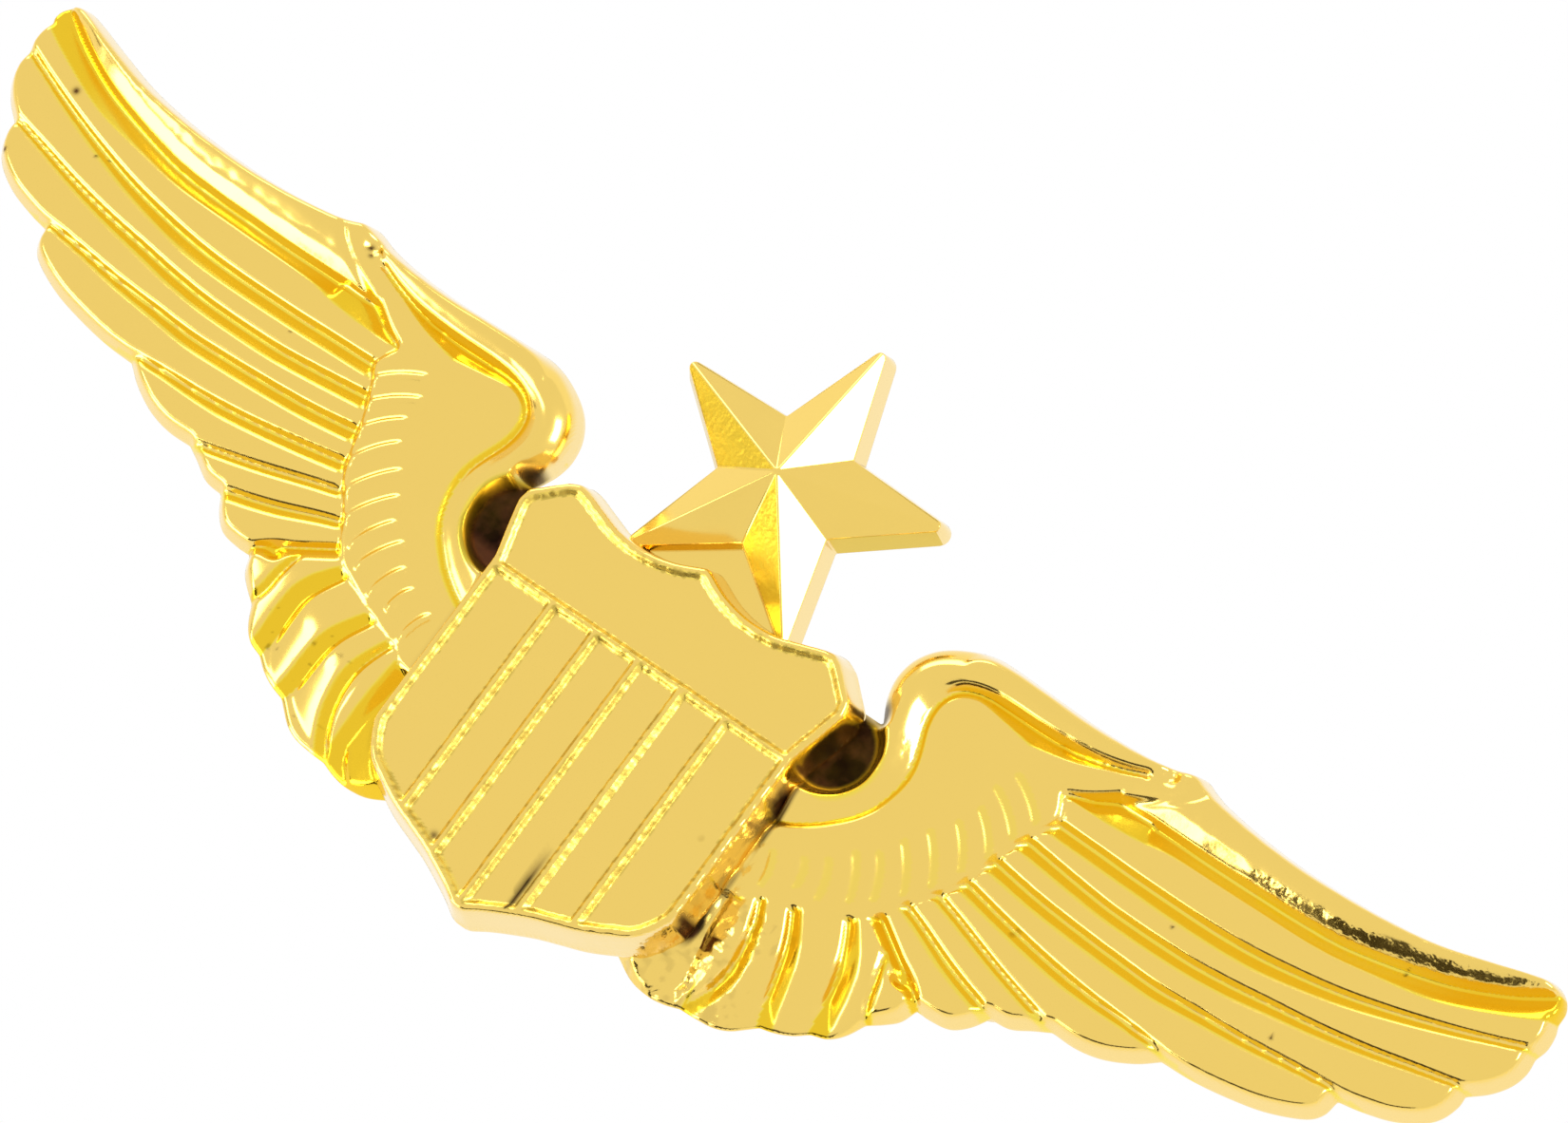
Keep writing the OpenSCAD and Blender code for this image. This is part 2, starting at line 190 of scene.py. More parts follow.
# Thin raised lines on the patch, each from its inner to its outer end
TICKS = [
    ((14.6, 7.65), (16.4, 6.45)), ((14.2, 6.8), (16, 5.5)), ((14.2, 5.8), (15.7, 4.3)),
    ((13.8, 4.9), (15.1, 3.3)), ((13.1, 4), (14.5, 2.2)), ((12.5, 3.1), (13.8, 1.3)),
    ((12, 2.2), (12.95, 0.45)), ((11.2, 1.7), (12.2, -0.1)), ((10.5, 0.9), (11.1, -0.7)),
    ((9.7, 0.4), (10.1, -0.8)), ((8.5, -0.05), (8.95, -1.5)),
]
# Right half of the shield's sunk field, from the top centre round to the bottom point
SHIELD_FIELD = [
    smooth([(0, 6.9), (1, 6.47), (2, 6.22), (3, 6.15), (4, 6.25), (5, 6.55), (5.9, 6.85), (6.2, 6.9)]),
    smooth([(6.45, 6.78), (7.5, 5.85)], 2),
    smooth([(7.56, 5.55), (7.3, 4.5), (7, 3.4), (6.95, 2.8), (6.95, 0), (6.95, -4.1), (6.85, -4.7),
            (6.6, -5.2), (6.2, -5.7), (5.5, -6.1), (4.5, -6.6), (3.5, -6.95), (2.5, -7.3), (1.5, -7.75),
            (0.7, -8.15), (0.12, -8.5)]),
]


def casting_outline():
    """The whole outline of the wings and the web."""
    half = np.vstack([placed(WEB_BOTTOM)] + [smooth(placed(t)) for t in TIPS]
                     + [smooth(placed(LEADING_EDGE), 6), placed(WEB_TOP)])
    return np.vstack([half, mirrored(half)])


def shield_outline():
    """The outline of the shield's sunk field."""
    half = np.vstack([placed(p) for p in SHIELD_FIELD])
    return np.vstack([half, mirrored(half)])


# ---------------------------------------------------------------- relief on a grid


class Grid:
    """Points of a rectangular net, with distances to outlines drawn on it, all in millimetres."""

    def __init__(self, xs, ys):
        self.xs, self.ys = np.array(xs), np.array(ys)
        self.X, self.Y = np.meshgrid(self.xs, self.ys)

    def distance(self, line, reach):
        """Distance to an open line, no more than reach."""
        out = np.full(self.X.shape, float(reach))
        for a, b in zip(line[:-1], line[1:]):
            low, high = np.minimum(a, b) - reach, np.maximum(a, b) + reach
            i0, i1 = np.searchsorted(self.xs, (low[0], high[0]))
            j0, j1 = np.searchsorted(self.ys, (low[1], high[1]))
            x, y = self.X[j0:j1, i0:i1] - a[0], self.Y[j0:j1, i0:i1] - a[1]
            d = b - a
            t = np.clip((x * d[0] + y * d[1]) / max(d @ d, 1e-12), 0, 1)
            near = np.hypot(x - t * d[0], y - t * d[1])
            out[j0:j1, i0:i1] = np.minimum(out[j0:j1, i0:i1], near)
        return out

    def inside(self, outline):
        """Which points a closed outline holds."""
        a, b = outline, np.roll(outline, -1, 0)
        out = np.zeros(self.X.shape, bool)
        for j, y in enumerate(self.ys + 1e-7):
            cut = (a[:, 1] > y) != (b[:, 1] > y)
            p, q = a[cut], b[cut]
            crossings = np.sort(p[:, 0] + (y - p[:, 1]) * (q[:, 0] - p[:, 0]) / (q[:, 1] - p[:, 1]))
            out[j] = np.searchsorted(crossings, self.xs) % 2 == 1
        return out

    def signed(self, outline, reach):
        """Distance to a closed outline, positive inside it."""
        near = self.distance(np.vstack([outline, outline[:1]]), reach)
        return np.where(self.inside(outline), near, -near)


def blurred(z, passes):
    """Rounds the creases of a height field; what is flat stays flat."""
    for _ in range(passes):
        z = np.pad(z, 1, mode="edge")
        z = (z[:-2] + 2 * z[1:-1] + z[2:]) / 4
        z = (z[:, :-2] + 2 * z[:, 1:-1] + z[:, 2:]) / 4
    return z


def pebbled(grid, pitch, seed):
    """Even random bumps from -1 to 1 of a given pitch, as a hammered surface has."""
    rng = np.random.default_rng(seed)
    u, v = (grid.X - grid.xs[0]) / pitch, (grid.Y - grid.ys[0]) / pitch
    table = rng.uniform(-1, 1, (int(v.max()) + 3, int(u.max()) + 3))
    i, j = u.astype(int), v.astype(int)
    s, t = u - i, v - j
    s, t = s * s * (3 - 2 * s), t * t * (3 - 2 * t)
    top = table[j, i] * (1 - s) + table[j, i + 1] * s
    low = table[j + 1, i] * (1 - s) + table[j + 1, i + 1] * s
    return top * (1 - t) + low * t


def height_at(line, x):
    """y of a line that runs from left to right."""
    line = line[np.argsort(line[:, 0])]
    return np.interp(x, line[:, 0], line[:, 1])


def across(edge, x, y):
    """Distance above an edge that runs from left to right, square to it."""
    edge = smooth(placed(edge))
    level = height_at(edge, x)
    slope = np.gradient(edge[:, 1], edge[:, 0])
    return (y - level) / np.hypot(1, np.interp(x, edge[:, 0], slope))


def beside(edge, x, y):
    """Distance to the outer side of an edge that runs downwards, square to it."""
    edge = smooth(placed(edge))[::-1]
    level = np.interp(y, edge[:, 1], edge[:, 0])
    slope = np.gradient(edge[:, 0], edge[:, 1])
    return (x - level) / np.hypot(1, np.interp(y, edge[:, 1], slope))


def band(flat_z, beyond, width, depth=GROOVE_DEPTH):
    """Slope that rises from the groove at an edge to the flat top over a width."""
    return flat_z - np.minimum(depth, BAND_TILT * width) * np.clip(1 - beyond / width, 0, 1)


def on_band(beyond, width):
    """1 on such a slope, 0 beyond it."""
    return np.clip((width - beyond) / 0.08, 0, 1) * (beyond > 0)


def long_feathers(x, y):
    """Heights of the seven long feathers, each tucked under the one above it, and where they slope."""
    below_tongue = height_at(smooth(placed(TONGUE_LOWER[:-1])), x)
    upper = np.where(x < 20.1, below_tongue, height_at(smooth(placed(ROLL_FOOT)), x))
    lower = height_at(smooth(placed(FIRST_BAND)), x)
    width = np.maximum(upper - lower, 0.15)
    z = band(FEATHER_Z, upper - y, width)
    # the slope mask marks where the material paints deeper gold, a painted reflection of neighbouring gold
    slope = on_band(upper - y, width) * np.interp(x, (20.5, 22.5, 31, 34), (1, 0.5, 0.5, 1))
    for edge, widths in FEATHER_EDGES:
        above = across(edge, x, y)
        reach = np.interp(x, (edge[1][0], (edge[1][0] + edge[-2][0]) / 2, edge[-2][0]), widths)
        wall = FEATHER_Z - GROOVE_DEPTH + above * GROOVE_DEPTH / WALL_W
        z = np.where(above > 0, np.minimum(z, wall), band(FEATHER_Z, -above, reach))
        slope = np.where(above > 0, slope, 0.5 * on_band(-above, reach))
    return z, slope


def fan_feathers(x, y):
    """Heights of the short fan feathers below the patch, each tucked under its inner neighbour."""
    root = height_at(smooth(placed(ROOT_LINE[:9])), x)
    along = np.clip(root - y, 0, 6)
    droop = FAN_TILT * np.where(along < 2.8, np.clip(along - 1.3, 0, 1.5) ** 2 / 3, along - 2.05)
    inner = 9.05 + 0.08 * along
    z = FEATHER_Z + 0.26 - 0.5 * np.minimum(np.abs(x - inner), 1.1) ** 1.6 - 0.8 * droop
    # the fan's inner side is marked for the painted deeper-gold reflection too
    slope = np.clip((inner - 0.35 - x) / 0.1, 0, 1)
    for edge, widths in FAN_EDGES:
        out = beside(edge, x, y)
        reach = np.interp(along, (0, 2.5), widths)
        top = FEATHER_Z + 0.19 - droop - 0.12 * np.clip((out - reach) / 1.3, 0, 1) ** 2
        wall = top - FAN_GROOVE - out * 0.5 / WALL_W
        z = np.where(out < 0, np.minimum(z, wall), band(top, out, reach, FAN_GROOVE))
        slope = np.where(out < 0, slope, on_band(out, reach))
    return z, slope


def all_feathers(x, y):
    """Long feathers and fan together, with a small pocket where they meet at the outline."""
    z, slope = long_feathers(x, y)
    fan, fan_slope = fan_feathers(x, y)
    above = across(FEATHER_EDGES[-1][0], x, y)
    pocket = 0.5 * np.exp(-(((x - 15.55) / 0.4) ** 2 + ((y + 1.5 + DRAWING_Y) / 0.28) ** 2))
    under = FEATHER_Z - 0.45 - above * 1.1 - pocket
    z = np.where(above > 0, z, np.minimum(fan, under))
    slope = np.where(above > 0, slope, np.maximum(fan_slope, on_band(-above, 0.4)))
    return z, slope


def roll_profile(foot, full, left):
    """Section of the leading edge roll: a slope up from the foot that rounds over to the top.

    It is fuller where full is 1, and rounds over sooner on the left wing.
    """
    section = np.interp(foot, (0, 0.12, 0.2, 0.78, 0.95, 1.3, 1.7, 2.3),
                        ROLL_Z - np.array((1.3, 0.83, 0.75, 0.25, 0.15, 0.07, 0.02, 0)))
    section_left = np.interp(foot, (0, 0.12, 0.25, 0.35, 0.7, 1, 1.35, 1.75, 2.3),
                             ROLL_Z - np.array((1.3, 0.84, 0.74, 0.62, 0.3, 0.17, 0.07, 0.02, 0)))
    return np.where(left, section_left, section + full * np.interp(foot, (0.2, 0.5, 0.78), (0, 0.05, 0)))


def patch_top(x, drawn_y, from_curl, inner_w):
    """Top of the shoulder patch: it rises to a small bowl at the wrist, and has a groove by the curl."""
    rise = np.clip((x * 0.8 + drawn_y * 0.6 - 18.6) / 4.4, 0, 1)
    top = PATCH_Z + (ROLL_Z - 0.05 - PATCH_Z) * rise**1.4
    bowl = 0.3 * np.exp(-((((x - 19.7) / 0.38) ** 2 + ((drawn_y - 10.85) / 0.34) ** 2) ** 1.5))
    groove = band(top, from_curl, inner_w, 0.45)
    return np.where(x < GROOVE_END_X, groove, top) - bowl


def curl_top(from_curl, drawn_y):
    """Top of the curled roll: steep beside the patch, gentle where it scrolls in and sinks to the shield."""
    round_over = ROLL_Z - 0.02 - 0.25 * np.clip(1 + from_curl / 0.75, 0, 1) ** 2
    steep = np.minimum(round_over, 0.95 - from_curl * 4.5)
    gentle = np.interp(-from_curl, (0, 0.1, 0.75, 1.1), (0.95, 1.2, 1.74, ROLL_Z - 0.02))
    scroll = np.clip((9.5 - drawn_y) / 0.9, 0, 1)
    sink = 0.3 * np.clip((7.4 - drawn_y) / 3, 0, 1) * np.clip(-from_curl / 0.5, 0, 1)
    return steep * (1 - scroll) + gentle * scroll - sink


def add_shoulder(grid, z, slope, foot):
    """Lays the shoulder patch with its ticks and the curled roll over the feathers.

    Gives the heights, the slope mask, and where the curl is.
    """
    x, drawn_y = np.abs(grid.X), grid.Y + DRAWING_Y
    curl, root = smooth(placed(CURL_LINE)), smooth(placed(ROOT_LINE))
    tongue_up, tongue_low = smooth(placed(TONGUE_UPPER)), smooth(placed(TONGUE_LOWER))
    from_curl = both_sides(grid, np.vstack([curl, placed([(7, -3), (22, -3), (22, 10.35)])]), 3.0)
    shoulder_edge = smooth(placed(LEADING_EDGE[14:]), 6)
    curl_outline = np.vstack([shoulder_edge, placed([(7.2, 6.45), (7.2, 0.75)]), curl[::-1], tongue_up[::-1]])
    on_patch = both_sides(grid, np.vstack([root, tongue_low, tongue_up, curl]), 2.4) > 0
    on_curl = (both_sides(grid, curl_outline, 2.4) > 0) & ~on_patch

    inner_w = np.interp(x, (10.5, 11.6, 12.7, 14.3, 16, 17.4, 18.4), (0.25, 0.3, 0.55, 0.8, 0.5, 0.2, 0.12))
    inner_w = np.where(drawn_y < 8.4, 0.25, inner_w)
    ticks = tick_heights(x, grid.Y) * np.where(grid.X > 0, 0.45, 1.1)
    patch_z = patch_top(x, drawn_y, from_curl, inner_w) + ticks
    from_root = beside_both(grid, np.vstack([root, tongue_low]), 1.0)
    edge_z = np.where(foot > 0, np.maximum(z - 0.18, FEATHER_Z - 0.3), FEATHER_Z - 0.3)
    edge_z = edge_z + np.where(grid.X > 0, 0.48, 0.25) * np.clip((14.2 - x) / 1.6, 0, 1)
    patch_z = np.minimum(patch_z, edge_z + from_root * (2.5 + 3 * (foot > 0)))
    beside_tongue = np.where((foot > 0) & ~on_patch, 0.18 * np.clip(1 - from_root / 0.3, 0, 1), 0)
    seam = 0.16 * np.exp(-((beside_both(grid, tongue_up, 1.0) / 0.1) ** 2)) * (x > 18.2)
    z = np.where(on_patch, patch_z, z - beside_tongue) - seam
    z = np.where(on_curl, curl_top(from_curl, drawn_y), z)

    # painted reflection: deeper gold on the groove's slope by the curl, and a little on the right wing's
    # ticks
    tint = np.maximum(on_band(from_curl, inner_w) * (x < GROOVE_END_X), (ticks > 0.02) * (grid.X > 0) * 0.2)
    slope = np.where(on_curl, 0, np.where(on_patch, tint, slope))
    soft = blurred((on_curl & (from_curl < -0.3)) * 1.0, 4)
    return z * (1 - soft) + blurred(z, 14) * soft, slope, on_curl


def outer_wall(x, y, rim):
    """Height that the casting may have at a distance inside its outline: a wall, then a rounded edge."""
    drawn_y = y + DRAWING_Y
    lead = y > height_at(smooth(placed(LEADING_EDGE[2:20])), np.maximum(x, 11)) - 1
    wall_w = np.where(lead, 0.16, 0.34) + 0.12 * np.clip(-(drawn_y + 2) / 2, 0, 1)
    wall = SKIRT_Z + rim * (FEATHER_Z - 0.1 - SKIRT_Z) / wall_w
    over = np.clip(rim - wall_w, 0, 1)
    rounded = FEATHER_Z - 0.1 + (1.9 + 1.6 * lead) * over + 0.6 * np.sqrt(np.maximum(over, 1e-6))
    wall = np.where(over > 0, rounded, wall)
    quarter = np.sqrt(1 - (1 - np.clip(rim / SHOULDER_W, 0, 1)) ** 2)
    shoulder = np.clip((12.6 - x) / 2.2, 0, 1) * np.clip((drawn_y - 6.2) / 1, 0, 1)
    return wall * (1 - shoulder) + (SKIRT_Z + (ROLL_Z + 0.03 - SKIRT_Z) * quarter) * shoulder


def casting_heights(grid):
    """Top surface of the wings and web, and the masks that the material reads."""
    x, y, drawn_y = np.abs(grid.X), grid.Y, grid.Y + DRAWING_Y
    right = grid.X > 0
    rim = grid.signed(casting_outline(), 3.0)
    seat = grid.signed(shield_outline(), 2.0)
    gap = GAP_R - np.hypot(x - GAP_CENTRE[0], drawn_y - GAP_CENTRE[1])

    z, slope = all_feathers(x, y)
    foot = np.where(x > 18.4, across(ROLL_FOOT, x, y), -1)
    z = np.where(foot > 0, roll_profile(foot, np.clip((grid.X - 22.5) / 2, 0, 1), grid.X < 0), z)
    slope = np.where(foot > 0, 0, slope)
    z, slope, on_curl = add_shoulder(grid, z, slope, foot)

    # the gap beside the shield, and the bank against the shield's side
    gap_z = np.maximum(WEB_Z, WEB_Z - gap * 1.9)
    z = np.where((x < 9.9) & (drawn_y > 1), np.minimum(z, gap_z), z)
    # painted reflection: deeper gold on the walls of the gap
    slope = np.maximum(slope, np.clip(gap / 0.3 + 2, 0, 1) * (x < 10.2) * (drawn_y > 2.5))
    bank = 0.98 + (seat + SHIELD_EDGE) * np.interp(drawn_y, (-4.2, -2.8), (0.45, 1.1))
    z = np.where((seat > -1.95) & (drawn_y < 1.2) & (x > 5), np.maximum(z, bank), z)

    # the outer wall, and the seat of the shield
    z = np.minimum(np.maximum(z, LOWEST_Z), outer_wall(x, y, rim))
    z = np.where(seat > 0.1 - SHIELD_EDGE, np.minimum(z, WEB_Z - 0.02), z)

    # hammered stretches: the roll's slope, the feathers' roots, and what lies near the shield on the right
    roll_side = (foot > 0.05) & (foot < 0.75)
    roll_rough = np.where(grid.X > 24.5, 1.0, np.where(right, 0.2, 0.1))
    root_rough = np.maximum(np.clip((24 - x) / 5, 0, 1) * (x > 14.8) * 0.25, (x < 13.5) * 0.3)
    bank_side = (seat > -1.35) & (seat < -0.6) & (drawn_y < 1.2) & (grid.X > 5)
    rough_fan = (x < 10.4) & right & (drawn_y < -2.4) & (seat < -0.6)
    rough_curl = on_curl & (drawn_y < 6.5) & right
    hammer = np.maximum.reduce([roll_side * roll_rough, slope * root_rough,
                                bank_side * 0.8, rough_fan * 0.7, rough_curl * 0.5])
    slope = np.where(rough_fan & (x < 8.9), 0, slope)
    crown = (foot > 0.55) & (foot < 1.15)
    z = z + 0.07 * pebbled(grid, 0.34, 8) * blurred((bank_side | rough_fan) * 1.0, 2)
    z = z + 0.012 * pebbled(grid, 0.22, 5) * blurred(hammer, 2)
    z = z + 0.02 * pebbled(grid, 0.8, 6) * blurred(roll_side * 1.0, 3)
    z = z + 0.015 * pebbled(grid, 0.42, 7) * blurred(crown * 1.0, 2)
    return blurred(z, 2), rim, {"painted_reflection": slope, "hammer": hammer, "tarnish_and_painted_dark": casting_tarnish_and_painted_dark(grid, seat, gap)}


# Small dark pits: centre and radius. The two at x -19.8 and -19.55 are painted dark reflection in the bowl at
# the left wrist.
DARK_SPOTS = [(-34.3, 9.45, 0.14), (-35.3, 5.9, 0.1), (-31.9, 7.7, 0.06), (-31.4, 7.9, 0.05), (-20.6, 6.2, 0.05),
        (-19.8, 10.7, 0.12), (-19.55, 10.45, 0.1), (23.1, 6.1, 0.06), (28.8, 4.7, 0.07), (31.5, 9.6, 0.06)]


def casting_tarnish_and_painted_dark(grid, seat, gap):
    """Tarnish along the shield's right side, painted dark reflections in the gaps beside the shield and in
    the left fan, a darker patch at each corner by the shoulder, speckles in the right fan, a few pits, and
    two painted dark reflections in the bowl at the left wrist.
    """
    x, y = grid.X, grid.Y + DRAWING_Y
    patches = np.clip(pebbled(grid, 1.1, 21) * 2.2 + 0.5, 0, 1)
    seam = np.clip(1.3 - (seat + 0.85) ** 2 / 0.04, 0, 1) * (y < 3) * (y > -5.8)
    seam = seam * np.where(x > 0, patches, 0.1)
    # painted dark reflection in the gaps beside the shield, deeper into each gap and wider on the left
    painted_gap_dark = np.clip(gap / 0.5 + np.where(x < 0, 1.15, 0.65), 0, 1) * (y > 2.2) * (np.abs(x) < 10)
    corner = 0.85 * np.clip(1.6 - np.hypot(np.abs(x) - 8.65, y - 6.75) / 0.42, 0, 1)
    speckle = np.clip(pebbled(grid, 0.24, 24) * 0.5 - 0.1, 0, 0.14) * (x > 5.5) * (x < 11) * (y < -2.4)
    # painted dark reflections as scattered spots in the left fan
    painted_fan_dark = np.clip(pebbled(grid, 0.22, 25) * 2.6 - 1.9, 0, 0.6) * (x < -9.2) * (x > -14.5) * (y < -2.6)
    tarnish_and_painted_dark = np.maximum.reduce([seam, painted_gap_dark, corner, speckle, painted_fan_dark])
    for u, v, r in DARK_SPOTS:
        tarnish_and_painted_dark = np.maximum(tarnish_and_painted_dark, 1.2 * np.exp(-((x - u) ** 2 + (y - v) ** 2) / r**2))
    return np.clip(tarnish_and_painted_dark, 0, 1)


def beside_both(grid, right_line, reach):
    """Distance to a line or to its mirror image."""
    return np.minimum(grid.distance(right_line, reach), grid.distance(mirrored(right_line), reach))


def both_sides(grid, right_outline, reach):
    """Signed distance to an outline and to its mirror image."""
    return np.maximum(grid.signed(right_outline, reach), grid.signed(mirrored(right_outline), reach))


def tick_heights(x, y):
    """Thin raised lines, slightly bowed, fading at their ends."""
    out = np.zeros_like(x)
    for inner, outer in TICKS:
        a, b = placed([inner, outer])
        d = (b - a) / np.linalg.norm(b - a)
        t = ((x - a[0]) * d[0] + (y - a[1]) * d[1]) / np.linalg.norm(b - a)
        side = (x - a[0]) * -d[1] + (y - a[1]) * d[0] - 0.5 * t * (1 - t)
        ends = np.clip((t + 0.05) / 0.1, 0, 1) * np.clip((1.05 - t) / 0.1, 0, 1)
        out = np.maximum(out, 0.2 * np.clip(1.15 - np.abs(side) / 0.19, 0, 1) * ends)
    return out


def shield_heights(grid):
    """Top of the shield: drafted wall, raised rim, sunk field, one bar and five ribs."""
    x, drawn_y = grid.X, grid.Y + DRAWING_Y
    inner = grid.signed(shield_outline(), 1.6)
    z = np.interp(inner, (-SHIELD_EDGE, -0.46, -0.36, -RIM_WALL_W, 0.0),
                  (WEB_Z + SKIRT_Z, RIM_Z - 0.1, RIM_Z, RIM_Z, FIELD_Z))
    raised = np.clip(np.minimum((drawn_y - BAR_LOW) / 0.17, (BAR_HIGH - drawn_y) / 0.1), 0, 1)
    for k in range(-2, 3):
        beside_rib = x - k * RIB_PITCH
        rib = np.minimum((beside_rib + RIB_W / 2) / RIB_WALLS[0], (RIB_W / 2 - beside_rib) / RIB_WALLS[1])
        raised = np.maximum(raised, np.clip(rib, 0, 1) * (drawn_y < BAR_LOW + 0.15))
    raised = np.maximum(raised, np.clip(-inner / RIM_WALL_W, 0, 1))
    z = np.where(inner > -RIM_WALL_W, np.maximum(z, FIELD_Z + (RIM_Z - FIELD_Z) * raised), z)

    steepness = np.hypot(*np.gradient(z, grid.ys, grid.xs))
    wall = ((steepness > 0.25) & (inner > -0.25)).astype(float)
    right_side = (inner < -0.3) & (x > 4.5) & (drawn_y < 2.8)
    z = z + 0.03 * pebbled(grid, 0.16, 9) * blurred(wall, 1)
    z = z + 0.012 * pebbled(grid, 0.25, 14) * (inner < -0.3)
    z = z + 0.06 * pebbled(grid, 0.32, 15) * blurred(right_side * 1.0, 2)

    streak = np.exp(-(((x - 1.66) / 0.13) ** 2)) * np.clip(-(drawn_y + 4.9) / 1.6, 0, 1)
    spot = np.exp(-(((x + 2.55) ** 2 + (drawn_y + 7.15) ** 2) / 0.03))
    speckle = np.clip(pebbled(grid, 0.16, 31) * 0.8 + 0.1, 0, 0.38) * wall
    patches = np.clip(pebbled(grid, 1.3, 22) * 2 + 0.55, 0, 1)
    ragged = np.clip((-0.5 - inner + 0.12 * pebbled(grid, 0.3, 16)) / 0.08, 0, 1)
    dirt = ragged * (x > 6.2) * (drawn_y < 2.5) * (drawn_y > -4.8) * patches
    # the shield's walls get a little painted deeper-gold reflection
    masks = {"painted_reflection": 0.2 * wall, "hammer": np.maximum(wall, right_side * 0.7),
             "tarnish_and_painted_dark": np.maximum.reduce([streak * (inner > -0.25), 0.8 * spot, speckle, dirt])}
    return blurred(z, 1), inner + SHIELD_EDGE, masks


# ---------------------------------------------------------------- meshes


def relief_mesh(name, grid, top, bottom, signed, masks, block=4):
    """A closed mesh between two height fields, cut off exactly where signed is zero.

    Flat stretches are merged into larger faces, block by block.
    """
    rows, cols = grid.X.shape
    inside = signed > 0
    corners = [(0, 0), (0, 1), (1, 1), (1, 0)]
    full = np.ones((rows - 1, cols - 1), bool)
    some = np.zeros((rows - 1, cols - 1), bool)
    for dj, di in corners:
        part = inside[dj:rows - 1 + dj, di:cols - 1 + di]
        full &= part
        some |= part

    grids = list(masks.values())
    js, is_ = np.nonzero(inside)
    number = -np.ones((rows, cols), int)
    number[js, is_] = np.arange(len(js))
    count = len(js)
    base = np.stack([grid.X[js, is_], grid.Y[js, is_]], 1)
    sample = np.stack([g[js, is_] for g in grids], 1)
    cut_xy, cut_top, cut_low, cut_sample, cut_number = [], [], [], [], {}

    def crossing(j, i, m, n):
        key = (j, i, m, n) if (j, i) < (m, n) else (m, n, j, i)
        if key not in cut_number:
            a, b, c, d = key
            t = np.clip(signed[a, b] / (signed[a, b] - signed[c, d]), 0.02, 0.98)
            mix = lambda g: g[a, b] * (1 - t) + g[c, d] * t
            cut_xy.append((mix(grid.X), mix(grid.Y)))
            cut_top.append(mix(top))
            cut_low.append(mix(bottom))
            cut_sample.append([mix(g) for g in grids])
            cut_number[key] = len(cut_xy) - 1
        return cut_number[key]

    mixed, skirt = [], []
    for j, i in zip(*np.nonzero(some & ~full)):
        ring, kinds = [], []
        for k in range(4):
            a = (j + corners[k][0], i + corners[k][1])
            b = (j + corners[(k + 1) % 4][0], i + corners[(k + 1) % 4][1])
            if inside[a]:
                ring.append(number[a])
                kinds.append("in")
            if inside[a] != inside[b]:
                ring.append(count + crossing(*a, *b))
                kinds.append("out" if inside[a] else "back")
        mixed.append(ring)
        for k in range(len(ring)):
            if kinds[k] == "out" and kinds[(k + 1) % len(ring)] == "back":
                skirt.append((ring[k], ring[(k + 1) % len(ring)]))

    per_side = count + len(cut_xy)
    xy = np.vstack([base, cut_xy])
    masks_all = np.vstack([sample, cut_sample])
    z_top = np.concatenate([top[js, is_], cut_top])
    z_low = np.concatenate([bottom[js, is_], cut_low])

    def side_faces(z):
        """Faces of one side, seen from above, with merged blocks where z is flat."""
        calm = full.copy()
        lows = np.minimum.reduce([z[dj:rows - 1 + dj, di:cols - 1 + di] for dj, di in corners])
        highs = np.maximum.reduce([z[dj:rows - 1 + dj, di:cols - 1 + di] for dj, di in corners])
        calm &= highs - lows < 1e-7
        grown = np.pad(calm, 1, constant_values=False)
        for dj in (0, 1, 2):
            for di in (0, 1, 2):
                calm &= grown[dj:dj + rows - 1, di:di + cols - 1]
        br, bc = (rows - 1) // block, (cols - 1) // block
        merged = calm[:br * block, :bc * block].reshape(br, block, bc, block).all((1, 3))
        single = full.copy()
        single[:br * block, :bc * block] &= ~np.repeat(np.repeat(merged, block, 0), block, 1)
        j, i = np.nonzero(single)
        out = np.stack([number[j, i], number[j, i + 1], number[j + 1, i + 1], number[j + 1, i]], 1).tolist()
        wide = np.pad(merged, 1, constant_values=False)
        for bj, bi in zip(*np.nonzero(merged)):
            j0, i0, j1, i1 = bj * block, bi * block, (bj + 1) * block, (bi + 1) * block
            low_n, right_n = wide[bj, bi + 1], wide[bj + 1, bi + 2]
            high_n, left_n = wide[bj + 2, bi + 1], wide[bj + 1, bi]
            ring = [number[j0, i0]]
            ring += [] if low_n else number[j0, i0 + 1:i1].tolist()
            ring.append(number[j0, i1])
            ring += [] if right_n else number[j0 + 1:j1, i1].tolist()
            ring.append(number[j1, i1])
            ring += [] if high_n else number[j1, i0 + 1:i1][::-1].tolist()
            ring.append(number[j1, i0])
            ring += [] if left_n else number[j0 + 1:j1, i0][::-1].tolist()
            out.append(ring)
        return out + mixed

    faces = side_faces(top)
    faces += [[per_side + v for v in reversed(f)] for f in side_faces(bottom)]
    faces += [[b, a, per_side + a, per_side + b] for a, b in skirt]
    co = np.vstack([np.column_stack([xy, z_top]), np.column_stack([xy, z_low])])
    masks_all = np.vstack([masks_all, masks_all * 0])

    used = np.unique(np.fromiter((v for f in faces for v in f), int))
    renumber = -np.ones(len(co), int)
    renumber[used] = np.arange(len(used))
    faces = [[int(renumber[v]) for v in f] for f in faces]
    mesh = bpy.data.meshes.new(name)
    mesh.from_pydata((co[used] * MM).tolist(), [], faces)
    for column, key in enumerate(masks):
        attribute = mesh.attributes.new(key, "FLOAT", "POINT")
        attribute.data.foreach_set("value", masks_all[used, column].astype(np.float32))
    mesh.update()
    return shaded(link(name, mesh), 80)


def link(name, mesh):
    obj = bpy.data.objects.new(name, mesh)
    bpy.context.scene.collection.objects.link(obj)
    return obj


